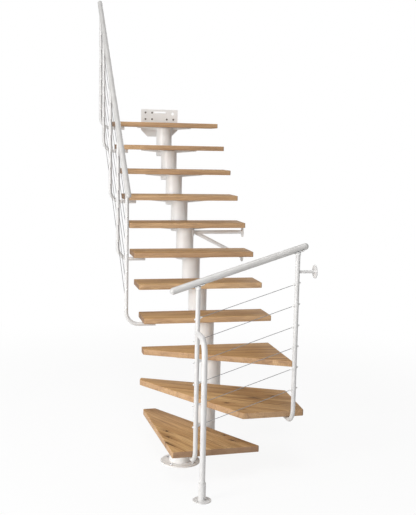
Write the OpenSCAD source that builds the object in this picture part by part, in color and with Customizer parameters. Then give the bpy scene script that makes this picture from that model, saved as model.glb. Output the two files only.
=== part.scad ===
// Modular staircase: central column of steel modules, oak treads,
// three winders at the foot and a straight flight above them.
// Origin: middle of the base flange's underside, on the lower floor.
// +Z up, +Y along the climb of the straight flight, +X to its right.

/* [Flight] */
// height of one rise
rise = 205; // [180:1:225]
// horizontal distance between two nosings of the straight flight
going = 260; // [230:1:280]
// length of a tread across the flight
tread_w = 950; // [750:5:1050]
// depth of a straight tread
tread_d = 275; // [250:1:300]
// thickness of a tread
tread_t = 40; // [30:1:50]

/* [Winders] */
// distance between two column tubes in the turn
winder_link = 293; // [260:1:310]
// distance from the base tube to the second column tube
first_link = 320; // [300:1:340]
// width of a winder at its narrow end
winder_narrow = 88; // [60:1:120]
// width of the two wedge treads at their wide end
winder_wide = 575; // [480:5:620]

/* [Column] */
// outside diameter of a column tube
tube_d = 140; // [120:1:160]
// wall of a column tube
tube_wall = 4; // [3:0.5:6]
// how far a tube hangs below the tread before it
tube_hang = 55; // [45:1:70]
// diameter of the floor flange
base_d = 256; // [220:1:300]
// thickness of the floor flange
base_t = 8; // [6:1:12]

/* [Railing] */
// diameter of a railing post
post_d = 28; // [24:1:34]
// diameter of a handrail
rail_d = 42; // [38:1:50]
// diameter of a railing cable
cable_d = 4; // [3:0.5:6]
// height of the upper handrail over the nosing line at the lowest post
rail_h_low = 848; // [800:1:1000]
// height of the upper handrail over the nosing line at the top
rail_h_high = 897; // [800:1:1000]
// distance from the tread ends to the upper posts
post_out = 115; // [100:1:150]
// height of the lower handrail over the floor at the start post
low_rail_h = 1257; // [1100:1:1400]
// height the lower handrail gains up to the end post
low_rail_gain = 190; // [120:1:260]

/* [Wall and landing] */
// distance from the middle of the flight to the wall
wall_x = 490; // [390:5:560]
// width of the landing plate
landing_w = 346; // [260:2:400]
// height of the landing plate
landing_h = 252; // [200:2:300]

/* [Build] */
// sub-part to build

/* [Hidden] */
$fn = 64;
n_treads = 11;
tread_overlap = tread_d - going;
fit_gap = 0.2;
// support plates and link arms of the column modules
plate_t = 5;
wing_w = 110;
wing_tip_w = 60;
wing_drop = 20;
wing_tip_drop = 4;
arm_w = 70;
arm_h = 45;
arm_wall = 4;
arm_end = 12;
tube_r = tube_d / 2;
// base flange
spigot_h = 30;
spigot_wall = 12;
base_bolt_in = 26;
base_bolt_d = 13;
// column tubes: the first three turn the flight, the rest run straight
turn_a = [47.8, 70, 87];
p1 = [0, 0];
p2 = [p1[0] + first_link * cos(turn_a[0]), p1[1] + first_link * sin(turn_a[0])];
p3 = [p2[0] + winder_link * cos(turn_a[1]), p2[1] + winder_link * sin(turn_a[1])];
p4 = [p3[0] + winder_link * cos(turn_a[2]), p3[1] + winder_link * sin(turn_a[2])];
landing_gap = 10;
landing_y = p4[1] + 7 * going + tread_d / 2 + landing_gap;
landing_p = [p4[0], landing_y];
nosing_y = p4[1] - tread_d / 2;
w_k = tread_w / 950;
// winder outlines, each about its own column tube
t3_back = winder_link * sin(turn_a[2]) - tread_d / 2 + tread_overlap;
t3_pts = [[-tread_w / 2, t3_back - winder_narrow], [tread_w / 2, t3_back - winder_wide],
          [tread_w / 2, t3_back], [-tread_w / 2, t3_back]];
t2_pts = [[-406, 308] * w_k, [113, -566] * w_k, [513, -556] * w_k, [535, -115] * w_k, [-390, 358] * w_k];
t1_skew = 2.6;
t1_l = tread_w - 50;
t1_mid = 70;
t1_nose = -146;
t1_wide = winder_wide - 15;
t1_pts = [[t1_nose, t1_mid - t1_l / 2], [t1_nose + t1_wide, t1_mid - t1_l / 2],
          [t1_nose + winder_narrow, t1_mid + t1_l / 2], [t1_nose, t1_mid + t1_l / 2]];
// tapered support plates lie along each tread
wing_a = [92.6, -45, 0];
// railing
post_wall = 2;
rail_wall = 2;
plug_l = 30;
bend_r = 91;
foot_plate_t = 4;
foot_plate_l = 75;
foot_plate_w = 48;
foot_web_w = post_d - 2;
foot_web_h = 10;
foot_screw_d = 5;
foot_screw_y = 19;
foot_len = 190;
foot_drop = foot_plate_t + post_d / 2;
cable_n = 6;
cable_step = 132;
cable_first = 195;
low_cable_first = 215;
cable_end = 24;
cable_reach = 40;
up_x = p4[0] - tread_w / 2 - post_out;
up_treads = [4, 6, 8, 10, 11];
up_in = 105;
up_foot_more = 25;
up_rail_y0 = nosing_y + 38;
up_rail_y1 = nosing_y + 7 * going + 196;
// lower railing stands in front of treads one and two
lower_out = 70;
start_x = 0;
start_y = (t1_mid - t1_l / 2 + start_x * sin(t1_skew)) / cos(t1_skew) - lower_out;
floor_post_y = start_y - 205;
floor_post_d = 34;
sleeve_d = 44;
sleeve_h = 108;
foot_disc_d = 109;
foot_disc_t = 6;
foot_disc_screw_r = 40;
wall_screw_d = 7;
wall_screw_in = 12;
end_x = p2[0] + 415 * w_k;
end_y = p2[1] - 564 * w_k - lower_out;
wall_arm_l = 115;
end_wall_x = end_x + wall_arm_l;
// the rail runs past the start post and past the end post
low_over_a = 152;
low_over_b = 45;
low_slope = low_rail_gain / (end_x - start_x);
low_skew = (end_y - start_y) / (end_x - start_x);
floor_post_top = 953;
wall_arm_drop = 142;
wall_arm_d = 18;
flange_d = 83;
flange_t = 6;
strut_d = 30;
strut_k = 7;
strut_drop = 46;
strut_low = 206;
strut_toe = [22, 6];
saddle_t = 6;
saddle_h = 48;
saddle_a = 80;
// landing plate and its holes, from its middle and its top edge
landing_t = 8;
landing_x = -20;
landing_up = 126;
landing_cut = 62;
anchor_d = 11;
anchor_row = [-132, -70, 70, 132];
anchor_drop = 90;
anchor_top_drop = 30;
cable_hole_d = 26;
cable_hole_at = [126, 38];
slot_w = 14;
slot_l = 100;
slot_x = 5;
slot_drop = 26;
// support plates stop short of the start post's foot
wing_l = 2 * (t1_l / 2 - t1_mid + lower_out - foot_len - 10);

// plan position of column tube k; the one past the last is the landing plate
function tube_p(k) = k == 1 ? p1 : k == 2 ? p2 : k == 3 ? p3 : [p4[0], p4[1] + (k - 4) * going];
function next_p(k) = k == n_treads ? landing_p : tube_p(k + 1);
// underside of tread k
function under(k) = k * rise - tread_t;
// middle of the upper handrail at y
function up_rail_z(y) = 4 * rise + (up_rail_y0 - nosing_y) * rise / going + rail_h_low
  + (y - up_rail_y0) * up_slope();
function up_slope() = rise / going + (rail_h_high - rail_h_low) / (up_rail_y1 - up_rail_y0);
function post_y(i) = nosing_y + (up_treads[i] - 4) * going + up_in;
// middle of the lower handrail at x
function low_rail_z(x) = low_rail_h + (x - start_x) * low_slope;
function low_rail_y(x) = start_y + (x - start_x) * low_skew;

// straight rod between two points
module rod(a, b, d) {
  v = b - a;
  l = norm(v);
  translate(a)
    rotate([0, acos(v[2] / l), atan2(v[1], v[0])])
      cylinder(d = d, h = l);
}

// open handrail tube between two points
module handrail(a, b) {
  v = (b - a) / norm(b - a);
  difference() {
    rod(a, b, rail_d);
    rod(a - v, b + v, rail_d - 2 * rail_wall);
  }
}

// rounded end cap pushed into the handrail at a, facing away from b
module rail_cap(a, b) {
  v = a - b;
  translate(a)
    rotate([0, acos(v[2] / norm(v)), atan2(v[1], v[0])]) {
      translate([0, 0, -plug_l]) cylinder(d = rail_d - 2 * rail_wall - 2 * fit_gap, h = plug_l + 1);
      rotate_extrude()
        intersection() {
          circle(d = rail_d);
          square(rail_d);
        }
    }
}

// one column module: tube, support plate with two tapered ribs, link arm
module column_module(k) {
  p = tube_p(k);
  q = next_p(k);
  top = under(k) - plate_t;
  bottom = k == 1 ? base_t : under(k - 1) - tube_hang;
  arm_a = atan2(q[1] - p[1], q[0] - p[0]);
  arm_l = norm(q - p);
  wa = k > 3 ? 0 : wing_a[k - 1];
  translate([p[0], p[1], 0])
    difference() {
      union() {
        translate([0, 0, bottom]) cylinder(r = tube_r, h = top - bottom);
        translate([0, 0, top]) rotate([0, 0, wa]) support_plate();
        rotate([0, 0, arm_a]) link_arm(top, arm_l, k == n_treads);
      }
      translate([0, 0, bottom - 1])
        cylinder(r = tube_r - tube_wall, h = top - bottom + 1 - plate_t);
    }
}

// flat plate under a tread, with a tapered rib on each side of the tube
module support_plate() {
  linear_extrude(plate_t)
    polygon([[-wing_l, -wing_tip_w] / 2, [-tube_r, -wing_w / 2], [tube_r, -wing_w / 2],
             [wing_l, -wing_tip_w] / 2, [wing_l, wing_tip_w] / 2, [tube_r, wing_w / 2],
             [-tube_r, wing_w / 2], [-wing_l, wing_tip_w] / 2]);
  translate([0, plate_t / 2, 0])
    rotate([90, 0, 0])
      linear_extrude(plate_t)
        polygon([[-wing_l / 2, 0], [-wing_l / 2, -wing_tip_drop], [-tube_r + 2, -wing_drop],
                 [tube_r - 2, -wing_drop], [wing_l / 2, -wing_tip_drop], [wing_l / 2, 0]]);
}

// channel arm, open below, that carries the foot of the next piece, its end shaped to meet it
module link_arm(top, l, flat_end) {
  face = flat_end ? l : l - tube_r;
  difference() {
    translate([tube_r - tube_wall + 1, -arm_w / 2, top - arm_h])
      cube([l - tube_r + tube_wall - 1, arm_w, arm_h]);
    translate([tube_r, -arm_w / 2 + arm_wall, top - arm_h - 1])
      cube([face - tube_r - arm_end, arm_w - 2 * arm_wall, arm_h + 1 - arm_wall]);
    if (!flat_end)
      translate([l, 0, top - arm_h - 1]) cylinder(r = tube_r, h = arm_h + 2);
  }
}

module base_flange() {
  color("white")
    difference() {
      union() {
        cylinder(d = base_d, h = base_t);
        cylinder(r = tube_r - tube_wall - fit_gap, h = base_t + spigot_h);
      }
      translate([0, 0, base_t])
        cylinder(r = tube_r - tube_wall - spigot_wall, h = spigot_h + 1);
      for (i = [0 : 3])
        rotate([0, 0, 45 + 90 * i])
          translate([base_d / 2 - base_bolt_in, 0, -1]) cylinder(d = base_bolt_d, h = base_t + 2);
    }
}

module column_module_1() { color("white") column_module(1); }
module column_module_2() { color("white") column_module(2); }
module column_module_3() { color("white") column_module(3); }
module column_module_4() { color("white") column_module(4); }
module column_module_5() { color("white") column_module(5); }
module column_module_6() { color("white") column_module(6); }
module column_module_7() { color("white") column_module(7); }
module column_module_8() { color("white") column_module(8); }
module column_module_9() { color("white") column_module(9); }
module column_module_10() { color("white") column_module(10); }
module column_module_11() { color("white") column_module(11); }

// straight tread k
module straight_tread(k) {
  color("peru")
    translate([p4[0] - tread_w / 2, nosing_y + (k - 4) * going, under(k)])
      cube([tread_w, tread_d, tread_t]);
}

// winder k from its outline about its own tube
module winder(k, pts, a) {
  color("peru")
    translate([tube_p(k)[0], tube_p(k)[1], under(k)])
      rotate([0, 0, a])
        linear_extrude(tread_t)
          polygon(pts);
}

module tread_1() { winder(1, t1_pts, t1_skew); }
module tread_2() { winder(2, t2_pts, 0); }
module tread_3() { winder(3, t3_pts, 0); }
module tread_4() { straight_tread(4); }
module tread_5() { straight_tread(5); }
module tread_6() { straight_tread(6); }
module tread_7() { straight_tread(7); }
module tread_8() { straight_tread(8); }
module tread_9() { straight_tread(9); }
module tread_10() { straight_tread(10); }
module tread_11() { straight_tread(11); }

// plate bolted to the edge of the upper floor
module landing_plate() {
  top = n_treads * rise + landing_up;
  color("white")
    translate([landing_p[0] + landing_x, landing_p[1] + landing_t, top - landing_h])
      rotate([90, 0, 0])
        linear_extrude(landing_t)
          difference() {
            polygon([[-landing_w / 2 + landing_cut, 0], [landing_w / 2 - landing_cut, 0],
                     [landing_w / 2, landing_cut], [landing_w / 2, landing_h],
                     [-landing_w / 2, landing_h], [-landing_w / 2, landing_cut]]);
            for (x = anchor_row)
              translate([x, landing_h - anchor_drop]) circle(d = anchor_d);
            for (i = [0, 1])
              translate([anchor_row[i], landing_h - anchor_top_drop]) circle(d = anchor_d);
            translate([cable_hole_at[0], landing_h - cable_hole_at[1]]) circle(d = cable_hole_d);
            hull()
              for (s = [-1, 1])
                translate([slot_x + s * slot_l / 2, landing_h - slot_drop]) circle(d = slot_w);
          }
}

// round wall flange with three screw holes, its back face at x = 0
module wall_flange() {
  rotate([0, -90, 0])
    difference() {
      cylinder(d = flange_d, h = flange_t);
      for (i = [0 : 2])
        rotate([0, 0, 30 + 120 * i])
          translate([flange_d / 2 - wall_screw_in, 0, -1])
            cylinder(d = wall_screw_d, h = flange_t + 2);
    }
}

// brace from column module seven to the wall
module wall_strut() {
  p = tube_p(strut_k);
  z = under(strut_k) - strut_drop;
  wx = p4[0] + wall_x;
  color("white") {
    difference() {
      union() {
        translate([p[0], p[1], z - saddle_h / 2])
          rotate([0, 0, -saddle_a / 2])
            rotate_extrude(angle = saddle_a)
              translate([tube_r, 0]) square([saddle_t, saddle_h]);
        rod([p[0] + tube_r + 1, p[1], z], [wx - flange_t, p[1], z], strut_d);
        rod([p[0] + tube_r + strut_toe[0], p[1], z - strut_toe[1]],
            [wx - flange_t, p[1], z - strut_low], strut_d);
        translate([wx, p[1], z]) wall_flange();
        translate([wx, p[1], z - strut_low]) wall_flange();
      }
      translate([wx, p[1] - flange_d, z - strut_low - flange_d])
        cube([flange_d, 2 * flange_d, strut_low + 2 * flange_d]);
    }
  }
}

// railing post bent into a foot: vertical on the z axis, foot towards +x
module bent_post(z_foot, z_top, l) {
  translate([0, 0, z_foot + bend_r])
    difference() {
      cylinder(d = post_d, h = z_top - z_foot - bend_r);
      translate([0, 0, -1]) cylinder(d = post_d - 2 * post_wall, h = z_top - z_foot - bend_r + 2);
    }
  translate([bend_r, 0, z_foot + bend_r])
    rotate([90, 0, 0])
      rotate([0, 0, 180])
        rotate_extrude(angle = 90)
          translate([bend_r, 0])
            difference() {
              circle(d = post_d);
              circle(d = post_d - 2 * post_wall);
            }
  translate([bend_r, 0, z_foot])
    rotate([0, 90, 0])
      difference() {
        cylinder(d = post_d, h = l - bend_r);
        translate([0, 0, -1]) cylinder(d = post_d - 2 * post_wall, h = l - bend_r + 2);
      }
  difference() {
    union() {
      translate([l - foot_plate_l, -foot_plate_w / 2, z_foot + foot_drop - foot_plate_t])
        cube([foot_plate_l, foot_plate_w, foot_plate_t]);
      translate([l - foot_plate_l, -foot_web_w / 2, z_foot + foot_drop - foot_plate_t - foot_web_h])
        cube([foot_plate_l, foot_web_w, foot_web_h + 1]);
    }
    translate([l - foot_plate_l - 1, 0, z_foot])
      rotate([0, 90, 0]) cylinder(d = post_d - 2 * post_wall, h = foot_plate_l + 3);
    for (s = [-1, 1])
      translate([l - foot_plate_l / 2, s * foot_screw_y, z_foot])
        cylinder(d = foot_screw_d, h = foot_drop + 1);
  }
}

// post i of the upper railing
module upper_post(i) {
  y = post_y(i);
  z = up_rail_z(y);
  color("white")
    difference() {
      translate([up_x, y, 0])
        bent_post(under(up_treads[i]) - foot_drop, z, foot_len + up_foot_more);
      rod(up_a, up_b, rail_d);
      for (c = [0 : cable_n - 1])
        rod(up_cable(c, y - cable_reach), up_cable(c, y + cable_reach), cable_d + 2 * fit_gap);
    }
}

// point at y on cable c of the upper railing
function up_cable(c, y) = [up_x, y, up_rail_z(y) - cable_first - c * cable_step];

module upper_post_1() { upper_post(0); }
module upper_post_2() { upper_post(1); }
module upper_post_3() { upper_post(2); }
module upper_post_4() { upper_post(3); }
module upper_post_5() { upper_post(4); }

up_a = [up_x, up_rail_y0, up_rail_z(up_rail_y0)];
up_b = [up_x, up_rail_y1, up_rail_z(up_rail_y1)];

module upper_handrail() {
  color("lightgray") handrail(up_a, up_b);
}

module upper_rail_caps() {
  color("lightgray") {
    rail_cap(up_a, up_b);
    rail_cap(up_b, up_a);
  }
}

module upper_cables() {
  color("silver")
    for (c = [0 : cable_n - 1])
      rod(up_cable(c, post_y(0) - cable_end), up_cable(c, post_y(4) + cable_end), cable_d);
}

// point at x on cable c of the lower railing
function low_cable(c, x) = [x, low_rail_y(x), low_rail_z(x) - low_cable_first - c * cable_step];

// post standing on the floor, bent over at the top to meet the start post
module floor_post() {
  color("white")
    difference() {
      translate([start_x, floor_post_y, 0]) {
        cylinder(d = foot_disc_d, h = foot_disc_t);
        cylinder(d = sleeve_d, h = sleeve_h);
        cylinder(d = floor_post_d, h = floor_post_top - bend_r);
        translate([0, bend_r, floor_post_top - bend_r])
          rotate([90, 0, 90])
            rotate([0, 0, 90])
              rotate_extrude(angle = 90)
                translate([bend_r, 0]) circle(d = floor_post_d);
        translate([0, bend_r, floor_post_top])
          rotate([-90, 0, 0]) cylinder(d = floor_post_d, h = start_y - floor_post_y - bend_r);
      }
      translate([start_x, start_y, floor_post_top - 2 * post_d]) cylinder(d = post_d, h = 4 * post_d);
      for (i = [0 : 2])
        translate([start_x, floor_post_y, -1])
          rotate([0, 0, 90 + 120 * i])
            translate([foot_disc_screw_r, 0, 0]) cylinder(d = wall_screw_d, h = foot_disc_t + 2);
    }
}

// bent post under tread one that starts the lower railing
module start_post() {
  color("white")
    difference() {
      translate([start_x, start_y, 0])
        rotate([0, 0, 90]) bent_post(under(1) - foot_drop, low_rail_z(start_x), foot_len);
      low_rail_cut();
      for (c = [0 : cable_n - 1])
        rod(low_cable(c, start_x - cable_reach), low_cable(c, start_x + cable_reach),
            cable_d + 2 * fit_gap);
    }
}

// bent post under tread two with its arm to the wall
module end_post() {
  z_arm = low_rail_z(end_x) - wall_arm_drop;
  color("white")
    difference() {
      union() {
        translate([end_x, end_y, 0])
          rotate([0, 0, 90]) bent_post(under(2) - foot_drop, low_rail_z(end_x), foot_len);
        rod([end_x + post_d / 2 - 1, end_y, z_arm], [end_wall_x - flange_t, end_y, z_arm], wall_arm_d);
        translate([end_wall_x, end_y, z_arm]) wall_flange();
      }
      low_rail_cut();
      for (c = [0 : cable_n - 1])
        rod(low_cable(c, end_x - cable_reach), low_cable(c, end_x + cable_reach),
            cable_d + 2 * fit_gap);
    }
}

// point at x on the middle line of the lower handrail, and its two ends
function low_rail(x) = [x, low_rail_y(x), low_rail_z(x)];
low_a = low_rail(start_x - low_over_a);
low_b = low_rail(end_x + low_over_b);

module low_rail_cut() {
  rod(low_a, low_b, rail_d);
}

module lower_handrail() {
  color("lightgray") handrail(low_a, low_b);
}

module lower_rail_caps() {
  color("lightgray") {
    rail_cap(low_a, low_b);
    rail_cap(low_b, low_a);
  }
}

module lower_cables() {
  color("silver")
    for (c = [0 : cable_n - 1])
      rod(low_cable(c, start_x - cable_end), low_cable(c, end_x + cable_end), cable_d);
}

base_flange();
column_module_1();
column_module_2();
column_module_3();
column_module_4();
column_module_5();
column_module_6();
column_module_7();
column_module_8();
column_module_9();
column_module_10();
column_module_11();
tread_1();
tread_2();
tread_3();
tread_4();
tread_5();
tread_6();
tread_7();
tread_8();
tread_9();
tread_10();
tread_11();
landing_plate();
wall_strut();
floor_post();
start_post();
end_post();
lower_handrail();
lower_rail_caps();
lower_cables();
upper_post_1();
upper_post_2();
upper_post_3();
upper_post_4();
upper_post_5();
upper_handrail();
upper_rail_caps();
upper_cables();
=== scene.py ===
"""Looks of a modular staircase: oak treads on a white powder-coated steel spine, with cable railings."""
import math

import bmesh
import bpy
import numpy as np
from mathutils import Matrix, Vector


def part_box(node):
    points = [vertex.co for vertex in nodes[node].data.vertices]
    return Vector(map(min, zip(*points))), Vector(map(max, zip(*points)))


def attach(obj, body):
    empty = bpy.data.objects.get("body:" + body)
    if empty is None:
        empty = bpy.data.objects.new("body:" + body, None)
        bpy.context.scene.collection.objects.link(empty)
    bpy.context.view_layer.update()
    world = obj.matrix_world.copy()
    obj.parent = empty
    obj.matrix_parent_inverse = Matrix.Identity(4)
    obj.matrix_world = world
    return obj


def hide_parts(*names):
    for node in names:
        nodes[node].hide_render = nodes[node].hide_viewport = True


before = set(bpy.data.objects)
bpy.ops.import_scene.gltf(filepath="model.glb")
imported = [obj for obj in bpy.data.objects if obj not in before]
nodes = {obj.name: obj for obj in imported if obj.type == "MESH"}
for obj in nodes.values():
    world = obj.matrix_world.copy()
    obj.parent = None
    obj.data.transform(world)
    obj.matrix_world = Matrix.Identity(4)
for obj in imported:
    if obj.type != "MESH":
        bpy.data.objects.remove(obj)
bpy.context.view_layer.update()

MM = 0.001
TREADS = 11
POST_R = 14 * MM
RAIL_R = 21 * MM
TUBE_R = 70 * MM
TUBE_WALL = 4 * MM
CABLE_R = 2 * MM
STAVE_W = 78 * MM

# large knots in the two lowest treads: place, direction of the grain, size
KNOTS = [(-0.103, -0.105, 0.205, -63, 0.016), (-0.092, 0.013, 0.205, -66, 0.010),
         (-0.128, -0.215, 0.205, -60, 0.012), (0.287, -0.229, 0.205, -58, 0.011),
         (0.262, -0.130, 0.205, -60, 0.006), (0.288, -0.104, 0.410, -31, 0.010),
         (0.618, 0.004, 0.410, -28, 0.010), (0.352, -0.250, 0.410, -33, 0.007)]


# ---------------------------------------------------------------- shader helpers

class Shader:
    """A material under construction, with short ways to add and wire nodes."""

    def __init__(self, name):
        self.mat = bpy.data.materials.new(name)
        self.mat.use_nodes = True
        self.tree = self.mat.node_tree
        self.bsdf = self.tree.nodes["Principled BSDF"]

    def add(self, kind, **settings):
        node = self.tree.nodes.new(kind)
        for key, value in settings.items():
            setattr(node, key, value)
        return node

    def wire(self, out, socket):
        self.tree.links.new(out, socket)

    def coords(self):
        return self.add("ShaderNodeTexCoord").outputs["Object"]

    def stretch(self, vector, scale):
        node = self.add("ShaderNodeVectorMath", operation="MULTIPLY")
        self.wire(vector, node.inputs[0])
        node.inputs[1].default_value = scale
        return node.outputs[0]

    def noise(self, vector, scale, detail=3.0, rough=0.55, distortion=0.0):
        node = self.add("ShaderNodeTexNoise")
        self.wire(vector, node.inputs["Vector"])
        node.inputs["Scale"].default_value = scale
        node.inputs["Detail"].default_value = detail
        node.inputs["Roughness"].default_value = rough
        node.inputs["Distortion"].default_value = distortion
        return node.outputs["Fac"]

    def math(self, operation, a, b=None, c=None):
        node = self.add("ShaderNodeMath", operation=operation)
        for i, value in enumerate((a, b, c)):
            if value is None:
                continue
            if isinstance(value, (int, float)):
                node.inputs[i].default_value = value
            else:
                self.wire(value, node.inputs[i])
        return node.outputs[0]

    def span(self, value, low, high, to_low=0.0, to_high=1.0):
        node = self.add("ShaderNodeMapRange", interpolation_type="SMOOTHSTEP")
        self.wire(value, node.inputs["Value"])
        node.inputs["From Min"].default_value = low
        node.inputs["From Max"].default_value = high
        node.inputs["To Min"].default_value = to_low
        node.inputs["To Max"].default_value = to_high
        return node.outputs[0]

    def ramp(self, value, stops):
        node = self.add("ShaderNodeValToRGB")
        self.wire(value, node.inputs["Fac"])
        ends = node.color_ramp.elements
        while len(ends) < len(stops):
            ends.new(0.5)
        for stop, (place, colour) in zip(ends, stops):
            stop.position = place
            stop.color = (*colour, 1)
        return node.outputs["Color"]

    def mix(self, factor, a, b, blend="MIX"):
        node = self.add("ShaderNodeMix", data_type="RGBA", blend_type=blend)
        sockets = [s for s in node.inputs if s.type == "RGBA"]
        for value, socket in ((a, sockets[0]), (b, sockets[1])):
            if isinstance(value, tuple):
                socket.default_value = (*value, 1)
            else:
                self.wire(value, socket)
        if isinstance(factor, (int, float)):
            node.inputs["Factor"].default_value = factor
        else:
            self.wire(factor, node.inputs["Factor"])
        return [s for s in node.outputs if s.type == "RGBA"][0]

    def bump(self, height, strength, distance):
        node = self.add("ShaderNodeBump")
        self.wire(height, node.inputs["Height"])
        node.inputs["Strength"].default_value = strength
        node.inputs["Distance"].default_value = distance
        self.wire(node.outputs["Normal"], self.bsdf.inputs["Normal"])
        return node

    def set(self, **values):
        for key, value in values.items():
            self.bsdf.inputs[key.replace("_", " ")].default_value = value

    def drive(self, socket, value):
        self.wire(value, self.bsdf.inputs[socket])


# ---------------------------------------------------------------- materials

def oiled_oak():
    """Solid oak glued up from staves; reads each board's own 'grain' directions and 'board' number."""
    m = Shader("oiled_oak")
    grain = m.add("ShaderNodeAttribute", attribute_name="grain").outputs["Vector"]
    board = m.add("ShaderNodeAttribute", attribute_name="board").outputs["Fac"]
    parts = m.add("ShaderNodeSeparateXYZ")
    m.wire(grain, parts.inputs[0])
    along, across, deep = parts.outputs

    # staves, each with its own tone and its own piece of tree
    lane = m.math("ADD", m.math("MULTIPLY", across, 1 / STAVE_W), m.math("MULTIPLY", board, 3.37))
    stave = m.math("FLOOR", lane)
    key = m.math("ADD", m.math("MULTIPLY", stave, 1.93), m.math("MULTIPLY", board, 17.3))
    dice = m.add("ShaderNodeTexWhiteNoise", noise_dimensions="1D")
    m.wire(key, dice.inputs["W"])
    tone = dice.outputs["Value"]
    shift = m.stretch(dice.outputs["Color"], (9.0, 5.0, 3.0))
    moved = m.add("ShaderNodeVectorMath", operation="ADD")
    m.wire(grain, moved.inputs[0])
    m.wire(shift, moved.inputs[1])
    wood = moved.outputs[0]

    # knots: sparse chance ones, and the large ones chosen for the lowest two boards
    spread = m.stretch(wood, (2.1, 6.5, 0.0))
    cells = m.add("ShaderNodeTexVoronoi", voronoi_dimensions="3D")
    m.wire(spread, cells.inputs["Vector"])
    cells.inputs["Scale"].default_value = 1.0
    chosen = m.add("ShaderNodeSeparateColor")
    m.wire(cells.outputs["Color"], chosen.inputs[0])
    present = m.span(chosen.outputs[0], 0.60, 0.72)
    near = m.span(cells.outputs["Distance"], 0.05, 0.42, 1.0, 0.0)
    swirl = m.math("MULTIPLY", near, present)
    heart = m.math("MULTIPLY", m.span(cells.outputs["Distance"], 0.03, 0.17, 1.0, 0.0), present)
    place = m.coords()
    torn = m.math("MULTIPLY_ADD", m.noise(place, 48.0, 4.0, 0.65), 5.0, -2.3)
    for x, y, z, turn, size in KNOTS:
        local = m.add("ShaderNodeMapping", vector_type="TEXTURE")
        m.wire(place, local.inputs["Vector"])
        local.inputs["Location"].default_value = (x, y, z)
        local.inputs["Rotation"].default_value = (0, 0, math.radians(turn))
        local.inputs["Scale"].default_value = (2.6 * size, size, 1.4 * size)
        reach = m.add("ShaderNodeVectorMath", operation="LENGTH")
        m.wire(local.outputs[0], reach.inputs[0])
        far = m.math("ADD", reach.outputs["Value"], torn)
        swirl = m.math("MAXIMUM", swirl, m.span(far, 0.4, 3.6, 1.0, 0.0))
        heart = m.math("MAXIMUM", heart, m.span(far, 0.35, 1.10, 1.0, 0.0))

    # growth rings seen flat-sawn: long arches along the board
    warp = m.noise(m.stretch(wood, (1.4, 9.0, 9.0)), 1.0, 3.0, 0.5)
    pull = m.math("MULTIPLY", m.math("SUBTRACT", warp, 0.5), 0.055)
    side = m.math("ADD", m.math("ADD", across, pull), m.math("MULTIPLY", swirl, 0.02))
    arch = m.math("MULTIPLY", m.math("MULTIPLY", along, along), 0.035)
    depth = m.math("ADD", m.math("ADD", deep, arch), m.math("MULTIPLY", tone, 0.05))
    radius = m.math("SQRT", m.math("ADD", m.math("MULTIPLY", side, side),
                                   m.math("MULTIPLY", depth, depth)))
    rings = m.math("SINE", m.math("MULTIPLY", radius, 2 * math.pi / 0.0065))
    late = m.span(rings, -0.2, 1.0)

    # broad heartwood streaks, fine fibre and open pores
    streak = m.noise(m.stretch(wood, (0.75, 16.0, 12.0)), 1.0, 4.0, 0.6, 0.4)
    vein = m.noise(m.stretch(wood, (1.5, 24.0, 16.0)), 1.0, 5.0, 0.62, 1.1)
    thread = m.noise(m.stretch(wood, (3.2, 105.0, 60.0)), 1.0, 4.0, 0.65, 0.8)
    fibre = m.noise(m.stretch(wood, (9.0, 420.0, 420.0)), 1.0, 3.0, 0.6)
    pore = m.noise(m.stretch(wood, (45.0, 1500.0, 1500.0)), 1.0, 2.0, 0.5)
    pores = m.math("MULTIPLY", m.span(pore, 0.60, 0.72), m.span(rings, -0.6, 0.6, 1.0, 0.25))

    body = m.ramp(streak, [(0.30, (0.215, 0.092, 0.030)), (0.43, (0.430, 0.232, 0.092)),
                           (0.53, (0.640, 0.388, 0.172)), (0.68, (0.780, 0.520, 0.262))])
    tinted = m.mix(m.math("MULTIPLY", tone, 0.55), body, (0.400, 0.200, 0.070))
    ringed = m.mix(m.math("MULTIPLY", late, 0.42), tinted, (0.290, 0.140, 0.048))
    threaded = m.mix(m.span(fibre, 0.40, 0.70, 0.0, 0.30), ringed, (0.800, 0.550, 0.265))
    streaked = m.mix(m.span(vein, 0.56, 0.70, 0.0, 0.78), threaded, (0.190, 0.080, 0.024))
    lined = m.mix(m.span(thread, 0.53, 0.66, 0.0, 0.62), streaked, (0.230, 0.105, 0.036))
    knotted = m.mix(m.math("MULTIPLY", swirl, 0.50), lined, (0.240, 0.110, 0.038))
    # sawn sides take the oil paler; end-grain faces at the tread ends turn dark, partly their own oiled end-grain
    # tone and partly painted shade
    facing = m.add("ShaderNodeTexCoord").outputs["Normal"]
    upright = m.add("ShaderNodeSeparateXYZ")
    m.wire(facing, upright.inputs[0])
    flat = m.span(m.math("ABSOLUTE", upright.outputs[2]), 0.35, 0.75, 1.0, 0.0)
    end = m.add("ShaderNodeVectorMath", operation="DOT_PRODUCT")
    m.wire(facing, end.inputs[0])
    m.wire(m.add("ShaderNodeAttribute", attribute_name="run").outputs["Vector"], end.inputs[1])
    end_grain_and_shade = m.span(m.math("ABSOLUTE", end.outputs["Value"]), 0.45, 0.85)
    sided = m.mix(m.math("MULTIPLY", flat, 0.42), knotted, (0.520, 0.365, 0.255))
    # partly painted shade: end faces mixed towards dark brown
    ended = m.mix(m.math("MULTIPLY", end_grain_and_shade, 0.66), sided, (0.245, 0.145, 0.092))
    hearted = m.mix(m.math("MULTIPLY", heart, 0.90), ended, (0.050, 0.022, 0.010))
    pored = m.mix(m.math("MULTIPLY", pores, 0.50), hearted, (0.180, 0.082, 0.032))
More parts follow.
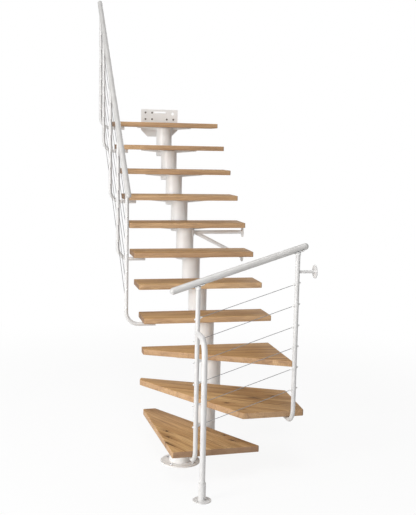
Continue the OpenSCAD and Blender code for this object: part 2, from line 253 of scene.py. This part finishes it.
    # the glue line between two staves
    edge = m.math("ABSOLUTE", m.math("SUBTRACT", m.math("FRACT", lane), 0.5))
    joint = m.span(edge, 0.488, 0.499)
    m.drive("Base Color", m.mix(m.math("MULTIPLY", joint, 0.35), pored, (0.180, 0.085, 0.035)))
    m.drive("Roughness", m.span(fibre, 0.2, 0.8, 0.52, 0.66))
    relief = m.math("SUBTRACT", m.math("MULTIPLY", fibre, 0.5), m.math("ADD", pores, joint))
    m.bump(relief, 0.35, 0.0006)
    m.set(Specular_IOR_Level=0.22, Coat_Weight=0.03, Coat_Roughness=0.35)
    return m.mat


def powder_coat(name, colour, shade, rough):
    """Satin powder coat: fine orange peel, slight thickness cloudiness."""
    m = Shader(name)
    place = m.coords()
    cloud = m.noise(place, 14.0, 3.0, 0.5)
    peel = m.noise(place, 520.0, 2.0, 0.5)
    m.drive("Base Color", m.mix(m.span(cloud, 0.35, 0.7), colour, shade))
    m.drive("Roughness", m.span(peel, 0.3, 0.7, rough - 0.05, rough + 0.07))
    m.bump(peel, 0.16, 0.0004)
    m.set(Specular_IOR_Level=0.5, Coat_Weight=0.18, Coat_Roughness=0.22)
    return m.mat


def moulded_plastic(name, colour, shade):
    """Moulded plastic with a fine spark-eroded texture; its near-black use is the painted shadow under the handrail
    saddles.
    """
    m = Shader(name)
    place = m.coords()
    grit = m.noise(place, 900.0, 3.0, 0.6)
    flow = m.noise(place, 22.0, 2.0, 0.5)
    m.drive("Base Color", m.mix(m.span(flow, 0.3, 0.7), colour, shade))
    m.drive("Roughness", m.span(grit, 0.3, 0.7, 0.48, 0.62))
    m.bump(grit, 0.2, 0.0003)
    return m.mat


def steel(name, colour, rough):
    """Bright steel with fine drawn marks."""
    m = Shader(name)
    place = m.coords()
    drawn = m.noise(m.stretch(place, (700.0, 700.0, 60.0)), 1.0, 3.0, 0.6)
    m.drive("Base Color", m.mix(drawn, colour, tuple(c * 0.72 for c in colour)))
    m.drive("Roughness", m.span(drawn, 0.25, 0.75, rough - 0.06, rough + 0.10))
    m.bump(drawn, 0.12, 0.0002)
    m.set(Metallic=1.0)
    return m.mat


# ---------------------------------------------------------------- reading the frame

def loose_parts(node):
    """Each closed part of a CAD node as an array of its corner points."""
    bm = bmesh.new()
    bm.from_mesh(nodes[node].data)
    bmesh.ops.remove_doubles(bm, verts=bm.verts, dist=1e-6)
    parts, seen = [], set()
    for start in bm.verts:
        if start in seen:
            continue
        stack, part = [start], []
        seen.add(start)
        while stack:
            vert = stack.pop()
            part.append(tuple(vert.co))
            for edge in vert.link_edges:
                other = edge.other_vert(vert)
                if other not in seen:
                    seen.add(other)
                    stack.append(other)
        parts.append(np.array(part))
    bm.free()
    return parts


def rod_ends(points):
    """Both ends of a straight rod, as the middles of its end rings, lower end first."""
    spread = points - points.mean(0)
    main = np.linalg.svd(spread, full_matrices=False)[2][0]
    reach = spread @ main
    middle = (reach.max() + reach.min()) / 2
    ends = [Vector(points[reach < middle].mean(0)), Vector(points[reach >= middle].mean(0))]
    return sorted(ends, key=lambda p: p.z)


def foot_ring(node):
    """Middle of the lowest ring of a column module's tube."""
    points = np.concatenate(loose_parts(node))
    low = points[points[:, 2] < points[:, 2].min() + 0.0005]
    return Vector(low.mean(0))


# ---------------------------------------------------------------- mesh helpers

def finish_piece(name, bm, material, smooth=35.0):
    """Makes a piece from a bmesh, shades it smooth below an angle and rides it on the stair."""
    bmesh.ops.recalc_face_normals(bm, faces=bm.faces)
    limit = math.radians(smooth)
    for face in bm.faces:
        face.smooth = True
    for edge in bm.edges:
        edge.smooth = len(edge.link_faces) == 2 and edge.calc_face_angle(0) < limit
    mesh = bpy.data.meshes.new(name)
    bm.to_mesh(mesh)
    bm.free()
    mesh.materials.append(material)
    piece = bpy.data.objects.new(name, mesh)
    bpy.context.scene.collection.objects.link(piece)
    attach(piece, "root")
    return piece


def turn_to(direction):
    """Rotation that points +Z along a direction."""
    return Vector(direction).to_track_quat("Z", "Y").to_matrix().to_4x4()


def add_rod(bm, a, b, r, sides=24, rim=0.0):
    """A closed rod from a to b, its rims eased by a bevel."""
    a, b = Vector(a), Vector(b)
    length = (b - a).length
    made = bmesh.ops.create_cone(bm, cap_ends=True, segments=sides, radius1=r, radius2=r, depth=length,
                                 matrix=Matrix.Translation((a + b) / 2) @ turn_to(b - a))
    if rim:
        axis = (b - a).normalized()
        rims = [e for e in {e for v in made["verts"] for e in v.link_edges}
                if abs((e.verts[0].co - e.verts[1].co).normalized().dot(axis)) < 0.5]
        bmesh.ops.bevel(bm, geom=rims, offset=rim, offset_type="OFFSET", segments=2, profile=0.5,
                        affect="EDGES", material=-1)


def add_ring(bm, centre, axis, r, thick, sides=48):
    """A weld bead or O-ring: a full spin of a small circle."""
    part = bmesh.new()
    bmesh.ops.create_circle(part, segments=8, radius=thick, cap_ends=False,
                            matrix=Matrix.Translation((r, 0, 0)) @ Matrix.Rotation(math.pi / 2, 4, "X"))
    bmesh.ops.spin(part, geom=part.verts[:] + part.edges[:], cent=(0, 0, 0), axis=(0, 0, 1),
                   angle=2 * math.pi, steps=sides, use_merge=True, use_duplicate=False)
    bmesh.ops.transform(part, matrix=Matrix.Translation(centre) @ turn_to(axis), verts=part.verts)
    join_into(bm, part)


def join_into(bm, part):
    """Adds a finished part to a bmesh."""
    mesh = bpy.data.meshes.new("part")
    part.to_mesh(mesh)
    part.free()
    bm.from_mesh(mesh)
    bpy.data.meshes.remove(mesh)


def add_bolt(bm, seat, axis, size, washer=True):
    """A hex bolt head with its washer; seat is the face that it presses on."""
    seat, axis = Vector(seat), Vector(axis).normalized()
    lift = 0.0
    if washer:
        lift = 0.18 * size
        add_rod(bm, seat, seat + axis * lift, 1.05 * size, 24, 0.06 * size)
    add_rod(bm, seat + axis * lift, seat + axis * (lift + 0.62 * size), 0.86 * size, 6, 0.06 * size)
    add_rod(bm, seat + axis * (lift + 0.60 * size), seat + axis * (lift + 0.70 * size), 0.6 * size, 20, 0.05 * size)


def add_button_screw(bm, seat, axis, size):
    """A domed socket screw."""
    seat, axis = Vector(seat), Vector(axis).normalized()
    part = bmesh.new()
    bmesh.ops.create_uvsphere(part, u_segments=20, v_segments=12, radius=size)
    cut = bmesh.ops.bisect_plane(part, geom=part.verts[:] + part.edges[:] + part.faces[:], dist=1e-7,
                                 plane_co=(0, 0, 0), plane_no=(0, 0, 1), clear_inner=True)
    rim = [e for e in cut["geom_cut"] if isinstance(e, bmesh.types.BMEdge)]
    bmesh.ops.contextual_create(part, geom=rim)
    top = max(part.verts, key=lambda v: v.co.z)
    faces = list(top.link_faces)
    pit = bmesh.ops.inset_region(part, faces=faces, thickness=0.02 * size, depth=-0.35 * size)
    bmesh.ops.scale(part, vec=(1, 1, 0.62), verts=part.verts)
    bmesh.ops.transform(part, matrix=Matrix.Translation(seat) @ turn_to(axis), verts=part.verts)
    join_into(bm, part)


# ---------------------------------------------------------------- treads

GRAIN = {1: -63.0, 2: -31.0, 3: -4.0}
EDGE_R = 3.5 * MM
CORNER_R = 9 * MM


def oak_tread(number, material):
    """A tread with rounded corners and eased edges, and its own grain directions."""
    node = f"tread_{number}"
    bm = bmesh.new()
    bm.from_mesh(nodes[node].data)
    bmesh.ops.remove_doubles(bm, verts=bm.verts, dist=1e-6)
    bmesh.ops.dissolve_limit(bm, angle_limit=math.radians(1), verts=bm.verts, edges=bm.edges)
    upright = [e for e in bm.edges if abs((e.verts[0].co - e.verts[1].co).normalized().z) > 0.9]
    bmesh.ops.bevel(bm, geom=upright, offset=CORNER_R, offset_type="OFFSET", segments=5, profile=0.5,
                    affect="EDGES", material=-1)
    heights = [v.co.z for v in bm.verts]
    low, high = min(heights), max(heights)
    rims = [e for e in bm.edges if abs(e.verts[0].co.z - e.verts[1].co.z) < 1e-5]
    bmesh.ops.bevel(bm, geom=rims, offset=EDGE_R, offset_type="OFFSET", segments=3, profile=0.5,
                    affect="EDGES", material=-1)
    middle = sum((v.co for v in bm.verts), Vector()) / len(bm.verts)
    turn = Matrix.Rotation(-math.radians(GRAIN.get(number, 0.0)), 3, "Z")
    grain = bm.verts.layers.float_vector.new("grain")
    board = bm.verts.layers.float.new("board")
    run = bm.verts.layers.float_vector.new("run")
    along = turn.transposed() @ Vector((1, 0, 0))
    for vert in bm.verts:
        vert[grain] = turn @ (vert.co - middle)
        vert[board] = number
        vert[run] = along
    piece = finish_piece(f"oak_tread_{number}", bm, material, 40.0)
    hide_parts(node)
    return piece


# ---------------------------------------------------------------- column

def column_details(number, coat, plastic, zinc):
    """Weld bead, end cap and clamp bolts of one column module."""
    node = f"column_module_{number}"
    low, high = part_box(node)
    foot = foot_ring(node)
    top = high.z - 5 * MM
    welds = bmesh.new()
    add_ring(welds, (foot.x, foot.y, top - 1 * MM), (0, 0, 1), TUBE_R + 1 * MM, 3 * MM)
    finish_piece(f"module_{number}_weld", welds, coat, 60.0)
    if number > 1:
        cap = bmesh.new()
        add_rod(cap, (foot.x, foot.y, foot.z - 4 * MM), (foot.x, foot.y, foot.z), TUBE_R - 1 * MM, 64, 1.5 * MM)
        add_rod(cap, (foot.x, foot.y, foot.z), (foot.x, foot.y, foot.z + 18 * MM),
                TUBE_R - TUBE_WALL - 0.3 * MM, 64)
        finish_piece(f"module_{number}_end_cap", cap, plastic, 40.0)
        before = foot_ring(f"column_module_{number - 1}")
        back = Vector((foot.x - before.x, foot.y - before.y, 0)).normalized()
        bolts = bmesh.new()
        for height in (17, 39):
            seat = Vector((foot.x, foot.y, foot.z + height * MM)) + back * TUBE_R
            add_bolt(bolts, seat, back, 8 * MM)
        finish_piece(f"module_{number}_clamp_bolts", bolts, zinc, 30.0)


def tread_screws(number, zinc):
    """Round-head screws through the support plate into the tread above it."""
    node = f"column_module_{number}"
    low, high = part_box(node)
    foot = foot_ring(node)
    turns = {1: 92.6, 2: -45.0}
    turn = Matrix.Rotation(math.radians(turns.get(number, 0.0)), 4, "Z")
    bm = bmesh.new()
    for x, y in [(-225, 14), (-225, -14), (-110, 26), (-110, -26), (110, 26), (110, -26), (225, 14), (225, -14)]:
        spot = turn @ Vector((x * MM, y * MM, 0))
        add_button_screw(bm, (foot.x + spot.x, foot.y + spot.y, high.z - 5 * MM), (0, 0, -1), 5 * MM)
    finish_piece(f"module_{number}_tread_screws", bm, zinc, 30.0)


# ---------------------------------------------------------------- railings

def stranded_cable(name, a, b, material):
    """A six-strand wire rope from a to b, its outline spun along its lay."""
    lay, steps_per_turn = 0.042, 10
    length = (b - a).length
    step = lay / steps_per_turn
    steps = int(length / step)
    bm = bmesh.new()
    bmesh.ops.create_circle(bm, segments=12, radius=CABLE_R, cap_ends=False)
    for i, vert in enumerate(sorted(bm.verts, key=lambda v: math.atan2(v.co.y, v.co.x))):
        if i % 2:
            vert.co *= 0.80
    bmesh.ops.spin(bm, geom=bm.verts[:] + bm.edges[:], cent=(0, 0, 0), axis=(0, 0, 1),
                   dvec=(0, 0, length / steps), angle=2 * math.pi / steps_per_turn * steps, steps=steps,
                   use_duplicate=False)
    rims = [e for e in bm.edges if len(e.link_faces) == 1]
    bmesh.ops.holes_fill(bm, edges=rims)
    bmesh.ops.transform(bm, matrix=Matrix.Translation(a) @ turn_to(b - a), verts=bm.verts)
    return finish_piece(name, bm, material, 80.0)


def cable_fittings(name, posts, cables, coat):
    """Coated swaged ends with domed nuts on the outer posts, grommets on the posts between."""
    for i, post in enumerate(posts):
        bm = bmesh.new()
        for a, b in cables:
            way = (b - a).normalized()
            flat = Vector((way.x, way.y, 0)).normalized()
            share = (post - a).dot(flat) / (b - a).dot(flat)
            hit = a + (b - a) * share
            wall = POST_R / way.dot(flat)
            if i in (0, len(posts) - 1):
                out = -way if i == 0 else way
                add_rod(bm, hit + out * (wall - 1 * MM), hit + out * (wall + 3 * MM), 7 * MM, 6, 0.8 * MM)
                add_rod(bm, hit + out * (wall + 3 * MM), hit + out * (wall + 8 * MM), 5.4 * MM, 20, 2 * MM)
                add_rod(bm, hit - out * (wall - 1 * MM), hit - out * (wall + 7 * MM), 7.4 * MM, 20, 1 * MM)
                add_rod(bm, hit - out * (wall + 7 * MM), hit - out * (wall + 15 * MM), 5.2 * MM, 20, 1 * MM)
            else:
                for side in (-way, way):
                    add_rod(bm, hit + side * (wall - 1 * MM), hit + side * (wall + 3.5 * MM), 6.4 * MM, 20, 1.2 * MM)
        finish_piece(f"{name}_{i + 1}_fittings", bm, coat, 40.0)


def add_rail_shell(bm, place, inner, outer, reach, half):
    """A trough along the local Z axis: part of a tube wall, half degrees to each side of local Y."""
    start = math.radians(-half)
    part = bmesh.new()
    corners = [part.verts.new((r * math.sin(start), r * math.cos(start), z))
               for r, z in ((inner, -reach), (outer, -reach), (outer, reach), (inner, reach))]
    face = part.faces.new(corners)
    bmesh.ops.spin(part, geom=[face] + face.verts[:] + face.edges[:], cent=(0, 0, 0), axis=(0, 0, 1),
                   angle=2 * start, steps=16, use_duplicate=False)
    bmesh.ops.transform(part, matrix=place, verts=part.verts)
    bmesh.ops.recalc_face_normals(part, faces=part.faces)
    join_into(bm, part)


def rail_saddle(name, axis_a, axis_b, post, coat, zinc, shadow_black):
    """Curved saddle under the handrail at a post, with two screws up into the rail, and a near-black strip and
    post-top ring as painted shadow under it.
    """
    way = (axis_b - axis_a).normalized()
    flat = Vector((way.x, way.y, 0)).normalized()
    share = (post - axis_a).dot(flat) / (axis_b - axis_a).dot(flat)
    hit = axis_a + (axis_b - axis_a) * share
    down = (Vector((0, 0, -1)) - way * Vector((0, 0, -1)).dot(way)).normalized()
    side = way.cross(down)
    place = Matrix((side, down, way)).transposed().to_4x4()
    place.translation = hit
    bm = bmesh.new()
    add_rail_shell(bm, place, RAIL_R + 1.6 * MM, RAIL_R + 4.4 * MM, 31 * MM, 50)
    collar = hit + Vector((0, 0, -1)) * (RAIL_R / max(0.3, abs(down.z)) + 3 * MM)
    add_rod(bm, collar + Vector((0, 0, -14 * MM)), collar + Vector((0, 0, 4 * MM)), POST_R + 2.5 * MM, 40, 1 * MM)
    finish_piece(f"{name}_saddle", bm, coat, 35.0)
    # painted shadow: a near-black strip round the rail's underside and a ring on the post top stand for the shade in
    # the gap under the saddle
    painted_shadow = bmesh.new()
    add_rail_shell(painted_shadow, place, RAIL_R + 0.1 * MM, RAIL_R + 1.6 * MM, 34 * MM, 56)
    add_rod(painted_shadow, collar + Vector((0, 0, 3 * MM)), collar + Vector((0, 0, 9 * MM)), POST_R + 3.4 * MM, 40, 1 * MM)
    finish_piece(f"{name}_gasket", painted_shadow, shadow_black, 35.0)
    screws = bmesh.new()
    for s in (-1, 1):
        add_button_screw(screws, hit + way * s * 25 * MM + down * (RAIL_R + 4.4 * MM), down, 3.6 * MM)
    finish_piece(f"{name}_saddle_screws", screws, zinc, 30.0)


# ---------------------------------------------------------------- flanges and feet

def flange_screws(name, centre, axis, circle_r, count, first, thick, size, zinc, hex_head=False):
    """Screws round a flange, on the face away from what it is fixed to."""
    axis = Vector(axis)
    bm = bmesh.new()
    for i in range(count):
        angle = math.radians(first + 360 / count * i)
        spoke = Vector((math.cos(angle), math.sin(angle), 0))
        if abs(axis.x) > 0.5:
            spoke = Vector((0, math.sin(angle), math.cos(angle)))
        seat = Vector(centre) + spoke * circle_r + axis * thick
        if hex_head:
            add_bolt(bm, seat, axis, size)
        else:
            add_button_screw(bm, seat, axis, size)
    finish_piece(name, bm, zinc, 30.0)


def landing_anchors(dark_steel):
    """Anchor screws in the landing plate's two rows of holes, on the face towards the stair."""
    low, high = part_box("landing_plate")
    middle = (low.x + high.x) / 2
    bm = bmesh.new()
    for x, drop in [(-132, 90), (-70, 90), (70, 90), (132, 90), (-132, 30), (-70, 30)]:
        add_button_screw(bm, (middle + x * MM, low.y, high.z - drop * MM), (0, -1, 0), 8.5 * MM)
    finish_piece("landing_anchors", bm, dark_steel, 30.0)


# ---------------------------------------------------------------- stage

def camera():
    """Stands left of the flight at about the height of its ninth tread."""
    turn, tilt, roll = math.radians(13.1), math.radians(-7.34), math.radians(1.16)
    data = bpy.data.cameras.new("camera")
    data.sensor_width = 36.0
    data.lens = 61.06
    data.clip_end = 100.0
    eye = bpy.data.objects.new("camera", data)
    eye.matrix_world = (Matrix.Translation((-1.0992, -5.4101, 2.062)) @ Matrix.Rotation(-turn, 4, "Z")
                        @ Matrix.Rotation(math.pi / 2 + tilt, 4, "X") @ Matrix.Rotation(roll, 4, "Z"))
    bpy.context.scene.collection.objects.link(eye)
    bpy.context.scene.camera = eye


def lamp(name, place, target, size, power, colour=(1, 1, 1)):
    data = bpy.data.lights.new(name, "AREA")
    data.shape = "RECTANGLE"
    data.size, data.size_y = size
    data.energy = power
    data.color = colour
    obj = bpy.data.objects.new(name, data)
    obj.matrix_world = Matrix.Translation(place) @ (Vector(target) - Vector(place)).to_track_quat("-Z", "Y").to_matrix().to_4x4()
    bpy.context.scene.collection.objects.link(obj)


def studio():
    """White surroundings, a pale floor that keeps the shadow, and four soft lamps."""
    scene = bpy.context.scene
    scene.view_settings.view_transform = "Standard"
    world = bpy.data.worlds.new("studio")
    scene.world = world
    world.use_nodes = True
    tree = world.node_tree
    back = tree.nodes["Background"]
    back.inputs["Color"].default_value = (1, 1, 1, 1)
    rays = tree.nodes.new("ShaderNodeLightPath")
    seen = tree.nodes.new("ShaderNodeMath")
    seen.operation = "MAXIMUM"
    tree.links.new(rays.outputs["Is Camera Ray"], seen.inputs[0])
    tree.links.new(rays.outputs["Is Transmission Ray"], seen.inputs[1])
    level = tree.nodes.new("ShaderNodeMapRange")
    level.inputs["To Min"].default_value = 0.38
    level.inputs["To Max"].default_value = 1.0
    tree.links.new(seen.outputs[0], level.inputs["Value"])
    tree.links.new(level.outputs[0], back.inputs["Strength"])

    bm = bmesh.new()
    bmesh.ops.create_grid(bm, x_segments=1, y_segments=1, size=30)
    mesh = bpy.data.meshes.new("floor")
    bm.to_mesh(mesh)
    bm.free()
    floor = bpy.data.objects.new("floor", mesh)
    floor.location.z = -0.0005
    scene.collection.objects.link(floor)
    m = Shader("pale_floor")
    m.set(Base_Color=(0.86, 0.86, 0.86, 1), Roughness=0.9, Specular_IOR_Level=0.1)
    glow = m.add("ShaderNodeEmission")
    glow.inputs["Strength"].default_value = 1.0
    path = m.add("ShaderNodeLightPath")
    away = m.add("ShaderNodeVectorMath", operation="DISTANCE")
    m.wire(m.coords(), away.inputs[0])
    away.inputs[1].default_value = (0.3, 0.8, 0)
    fade = m.span(away.outputs["Value"], 1.5, 4.0, 0.90, 1.0)
    share = m.math("MULTIPLY", path.outputs["Is Camera Ray"], fade)
    blend = m.add("ShaderNodeMixShader")
    m.wire(share, blend.inputs[0])
    m.wire(m.bsdf.outputs[0], blend.inputs[1])
    m.wire(glow.outputs[0], blend.inputs[2])
    m.wire(blend.outputs[0], m.tree.nodes["Material Output"].inputs[0])
    mesh.materials.append(m.mat)

    lamp("left", (-6.0, -3.0, 2.7), (0.3, 1.2, 1.3), (2.6, 3.4), 400)
    lamp("top", (-0.6, -1.6, 7.2), (0.3, 1.0, 1.2), (3.0, 3.0), 130)
    lamp("front", (-1.5, -8.0, 2.4), (0.3, 1.0, 1.4), (4.0, 3.0), 35)
    lamp("back", (2.6, 8.0, 4.5), (0.3, 1.5, 1.5), (4.0, 3.0), 70)


# ---------------------------------------------------------------- building the stair

def build():
    oak = oiled_oak()
    white = powder_coat("white_powder_coat", (0.88, 0.875, 0.865), (0.85, 0.845, 0.835), 0.40)
    post = powder_coat("post_coat", (0.70, 0.69, 0.68), (0.66, 0.65, 0.64), 0.38)
    # the handrail and its caps are greyer than the white coat: partly their own light grey, partly painted
    # reflection for the dark band reflected along the glossy rail
    rail = powder_coat("handrail_coat", (0.62, 0.61, 0.595), (0.57, 0.56, 0.545), 0.32)
    plastic = moulded_plastic("moulded_plastic", (0.70, 0.70, 0.69), (0.62, 0.62, 0.61))
    # painted shadow: near-black colour for the shade under the handrail saddles
    shadow_black = moulded_plastic("painted_shadow_black", (0.10, 0.10, 0.10), (0.07, 0.07, 0.07))
    rope = steel("cable_steel", (0.42, 0.42, 0.43), 0.42)
    zinc = steel("bright_zinc", (0.70, 0.70, 0.71), 0.30)
    dark_steel = steel("phosphated_steel", (0.20, 0.18, 0.16), 0.50)

    for name, node in nodes.items():
        node.data.materials.clear()
        if "handrail" in name:
            node.data.materials.append(rail)
        elif "caps" in name:
            node.data.materials.append(rail)
        elif "cables" in name:
            node.data.materials.append(rope)
        elif "post" in name:
            node.data.materials.append(post)
        else:
            node.data.materials.append(white)

    for number in range(1, TREADS + 1):
        oak_tread(number, oak)
        column_details(number, white, plastic, zinc)
        tread_screws(number, zinc)

    sides = {"lower": ["start_post", "end_post"], "upper": [f"upper_post_{i}" for i in range(1, 6)]}
    for side, posts in sides.items():
        rods = sorted((rod_ends(p) for p in loose_parts(f"{side}_cables")), key=lambda e: e[0].z)
        ropes = [stranded_cable(f"{side}_cable_{i + 1}", a, b, rope) for i, (a, b) in enumerate(rods)]
        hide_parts(f"{side}_cables")
        rail_a, rail_b = rod_ends(loose_parts(f"{side}_handrail")[0])
        spots = []
        for post in posts:
            low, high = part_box(post)
            if side == "upper":
                spots.append(Vector((low.x + POST_R, (low.y + high.y) / 2, 0)))
            else:
                # the foot plate is 48 mm wide and centred on the post
                spots.append(Vector((low.x + 24 * MM, low.y + (POST_R if post == "start_post" else 0.0415), 0)))
        cable_fittings(f"{side}_post", spots, rods, white)
        for post, spot in zip(posts, spots):
            rail_saddle(post, rail_a, rail_b, spot, white, zinc, shadow_black)

    landing_anchors(dark_steel)
    flange_screws("base_bolts", (0, 0, 0), (0, 0, 1), 0.102, 4, 45, 8 * MM, 9 * MM, zinc, True)
    low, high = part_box("floor_post")
    spot = ((low.x + high.x) / 2, low.y + 0.0545, 0)
    flange_screws("floor_post_screws", spot, (0, 0, 1), 0.040, 3, 90, 6 * MM, 4.5 * MM, zinc)


camera()
studio()
build()
